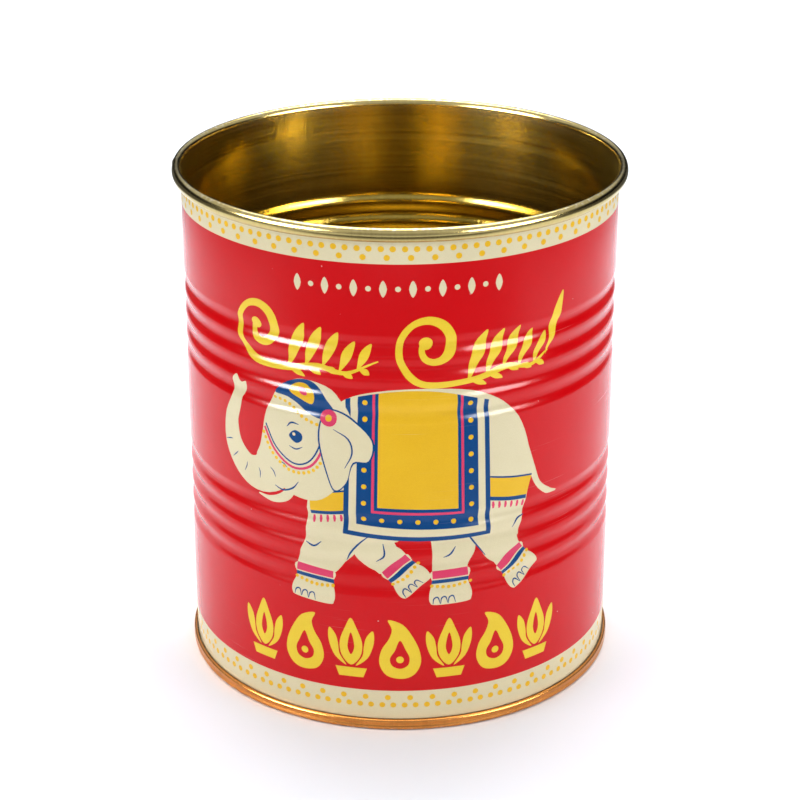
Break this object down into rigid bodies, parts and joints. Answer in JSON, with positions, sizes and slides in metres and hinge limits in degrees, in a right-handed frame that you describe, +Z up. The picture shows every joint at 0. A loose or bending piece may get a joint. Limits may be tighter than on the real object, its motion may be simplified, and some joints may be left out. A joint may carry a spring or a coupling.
{
  "type": "spice tin",
  "caption": "Open round storage tin for spices: beaded printed tinplate wall with a rolled rim and a seamed-on base.",
  "frame": {"origin": "on the table, in the middle of the standing ring under the base", "axes": "+Z up along the tin's axis, the printed front faces -Y, and the side seam is at -X"},
  "size_m": [0.1248, 0.1248, 0.1445],
  "materials": {
    "printed_tinplate": "glossy red litho ink under clear varnish on tinplate",
    "gold_lacquer": "gold can lacquer over bright tinplate, inside the wall and on the rolled rim",
    "bare_tinplate": "unprinted tinplate strip beside the welded side seam",
    "copper_lacquer": "copper-gold can lacquer over tinplate, semi-gloss",
    "sealing_compound": "dull grey can-end sealing compound",
    "cream_ink": "cream litho ink, glossy varnish",
    "yellow_ink": "golden yellow litho ink, glossy varnish",
    "blue_ink": "dark blue litho ink, glossy varnish",
    "pink_ink": "pink litho ink, glossy varnish"
  },
  "bodies": {
    "root": {"body_shell": "printed_tinplate", "base_end": "copper_lacquer", "seam_compound": "sealing_compound"}
  },
  "joints": []
}
